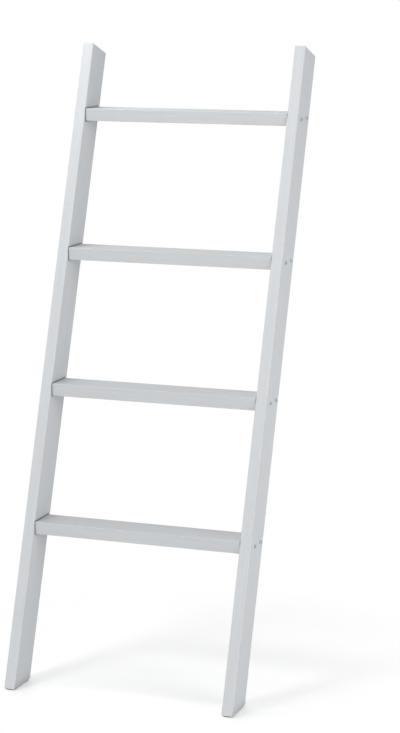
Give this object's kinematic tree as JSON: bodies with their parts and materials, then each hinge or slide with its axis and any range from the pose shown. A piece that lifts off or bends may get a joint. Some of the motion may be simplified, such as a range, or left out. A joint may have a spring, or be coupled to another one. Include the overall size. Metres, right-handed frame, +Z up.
{
  "type": "towel ladder",
  "caption": "Leaning towel ladder of painted boards: flat rails with level feet carry level rungs and a narrow top shelf, screwed through the rails, for hanging towels against a wall.",
  "frame": {"origin": "on the floor, midway between the rails and midway between the front of the feet and the back of the rails' tops", "axes": "+X to the right seen from the front, +Y back towards the wall that the ladder leans on, +Z up"},
  "size_m": [0.505, 0.5164, 1.3073],
  "materials": {
    "painted_wood": "satin light grey paint over planed wood",
    "screw_steel": "zinc-plated steel, satin",
    "foot_rubber": "matt dark grey rubber"
  },
  "bodies": {
    "root": {"left_rail": "painted_wood", "right_rail": "painted_wood", "top_shelf": "painted_wood", "upper_rung": "painted_wood", "middle_rung": "painted_wood", "lower_rung": "painted_wood", "left_foot_pad": "foot_rubber", "right_foot_pad": "foot_rubber", "lower_left_back_screw": "screw_steel", "lower_left_front_screw": "screw_steel", "lower_right_back_screw": "screw_steel", "lower_right_front_screw": "screw_steel", "middle_left_back_screw": "screw_steel", "middle_left_front_screw": "screw_steel", "middle_right_back_screw": "screw_steel", "middle_right_front_screw": "screw_steel", "shelf_left_back_screw": "screw_steel", "shelf_left_front_screw": "screw_steel", "shelf_right_back_screw": "screw_steel", "shelf_right_front_screw": "screw_steel", "upper_left_back_screw": "screw_steel", "upper_left_front_screw": "screw_steel", "upper_right_back_screw": "screw_steel", "upper_right_front_screw": "screw_steel"}
  },
  "joints": []
}
